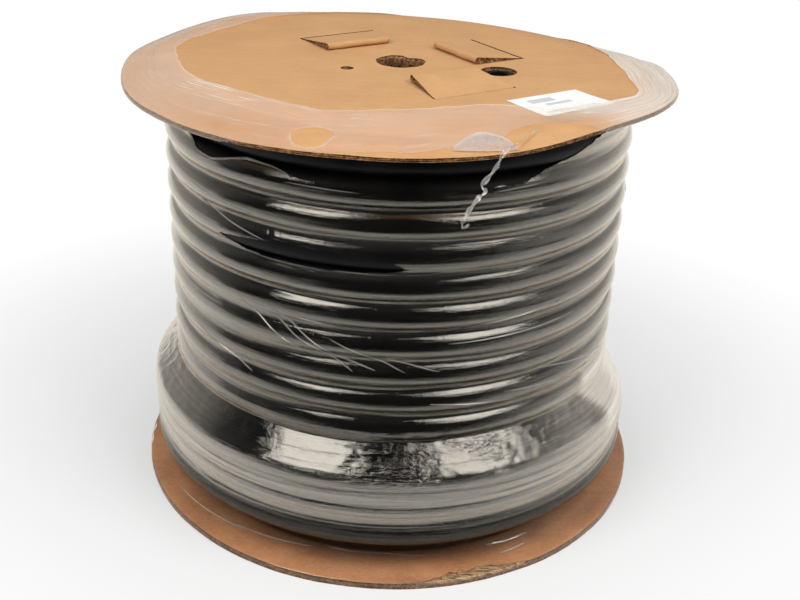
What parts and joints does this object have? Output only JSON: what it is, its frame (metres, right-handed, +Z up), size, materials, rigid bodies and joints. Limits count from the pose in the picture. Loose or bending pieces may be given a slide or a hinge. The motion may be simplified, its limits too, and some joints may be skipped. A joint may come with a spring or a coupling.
{
  "type": "reel of hydraulic hose",
  "caption": "Corrugated board reel on its end, wound with black hydraulic hose and wrapped in clear stretch film, with an arbor hole for a pay-out stand",
  "frame": {"origin": "centre of the underside, on the floor that the reel stands on", "axes": "+Z is up and along the reel's axis, +X and +Y lie in the flange, with the label in the quarter of +X and -Y"},
  "size_m": [0.5518, 0.5518, 0.4535],
  "materials": {
    "board": "kraft corrugated board",
    "board_shaded": "kraft corrugated board, darker liner, worn rim",
    "hose_rubber": "smooth black rubber cover",
    "clear_film": "clear stretch film, wrinkled",
    "label_paper": null
  },
  "bodies": {
    "root": {"top_flange": "board", "bottom_flange": "board_shaded", "core_tube": "board", "hose_coil": "hose_rubber", "hose_inner_end": "hose_rubber", "stretch_film": "clear_film", "label": "label_paper"}
  },
  "joints": []
}
